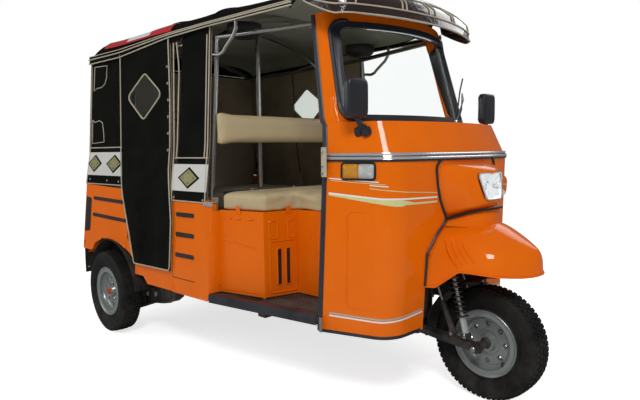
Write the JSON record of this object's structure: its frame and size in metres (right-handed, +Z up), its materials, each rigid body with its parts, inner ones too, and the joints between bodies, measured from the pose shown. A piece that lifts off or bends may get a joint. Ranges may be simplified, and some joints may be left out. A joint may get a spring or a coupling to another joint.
{
  "type": "auto rickshaw",
  "caption": "Three-wheeled taxi with a steel cowl, one steered front wheel, bench seats and a canvas canopy; steering, wheels and rear engine lid move.",
  "frame": {"origin": "on the ground, halfway along the vehicle and on its middle plane", "axes": "+X forward, +Y to the vehicle's left, +Z up"},
  "size_m": [2.63, 1.5012, 1.76],
  "materials": {
    "orange_paint": "gloss",
    "black_canvas": "coated weave",
    "black_paint": "satin",
    "beige_vinyl": "soft sheen",
    "rubber": "matt",
    "glass": "clear",
    "black_plastic": "moulded",
    "floor_mat": "ribbed",
    "lamp_lens": "fluted",
    "chrome_trim": "polished",
    "amber_lens": "fluted",
    "red_lens": "fluted",
    "maroon_vinyl": "stitched",
    "cream_piping": "satin",
    "bright_tube": "bright",
    "clear_vinyl": "clear",
    "cast_metal": "cast",
    "rim_silver": "silver",
    "tyre": "matt",
    "white_belt": "coated"
  },
  "bodies": {
    "body": {"chassis_frame": "black_paint", "steering_neck": "black_paint", "floor_pan": "floor_mat", "cowl_shell": "orange_paint", "wheel_well": "black_paint", "dashboard": "black_plastic", "headlamp_nacelle": "orange_paint", "headlamp": "lamp_lens", "front_fender": "orange_paint", "belt_moulding": "chrome_trim", "indicators": "amber_lens", "mirrors": "black_plastic", "windscreen_frame": "orange_paint", "windscreen_seal": "rubber", "windscreen_glass": "glass", "canopy_roof": "black_canvas", "front_visor": "maroon_vinyl", "canopy_frame": "bright_tube", "flap_windows": "clear_vinyl", "rear_curtain": "black_canvas", "rear_window": "clear_vinyl", "rear_panel": "orange_paint", "tail_lamps": "red_lens", "mudflaps": "rubber", "seat_box": "orange_paint", "driver_cushion": "beige_vinyl", "driver_backrest": "beige_vinyl", "bench_base": "black_paint", "bench_cushion": "beige_vinyl", "bench_back": "beige_vinyl", "engine_block": "cast_metal", "swing_arms": "black_paint", "side_panel_right": "orange_paint", "rear_quarter_right": "black_canvas", "front_quarter_right": "black_canvas", "door_flap_right": "black_canvas", "side_panel_left": "orange_paint", "rear_quarter_left": "black_canvas", "front_quarter_left": "black_canvas", "door_flap_left": "black_canvas"},
    "steering": {"front_fork": "black_paint", "front_springs": "black_paint", "handlebar": "black_paint"},
    "front_wheel": {"front_rim": "rim_silver", "front_tyre": "tyre"},
    "rear_wheel_right": {"rear_rim_right": "rim_silver", "rear_tyre_right": "tyre"},
    "rear_wheel_left": {"rear_rim_left": "rim_silver", "rear_tyre_left": "tyre"},
    "rear_lid": {"engine_lid": "orange_paint"}
  },
  "joints": [
    {"name": "steering_turn", "type": "hinge", "parent": "body", "child": "steering", "pos_m": [0.90092, 0, 0.6], "axis": [-0.3567, 0, 0.9342], "range_deg": [-35, 35]},
    {"name": "front_wheel_spin", "type": "hinge", "parent": "steering", "child": "front_wheel", "pos_m": [1.08, 0, 0.235], "axis": [0, 1, 0], "continuous": true},
    {"name": "rear_wheel_right_spin", "type": "hinge", "parent": "body", "child": "rear_wheel_right", "pos_m": [-0.95, -0.6925, 0.235], "axis": [0, 1, 0], "continuous": true},
    {"name": "rear_wheel_left_spin", "type": "hinge", "parent": "body", "child": "rear_wheel_left", "pos_m": [-0.95, 0.6925, 0.235], "axis": [0, 1, 0], "continuous": true},
    {"name": "rear_lid_hinge", "type": "hinge", "parent": "body", "child": "rear_lid", "pos_m": [-1.3053, 0, 0.802], "axis": [0, 1, 0], "range_deg": [0, 75]}
  ]
}
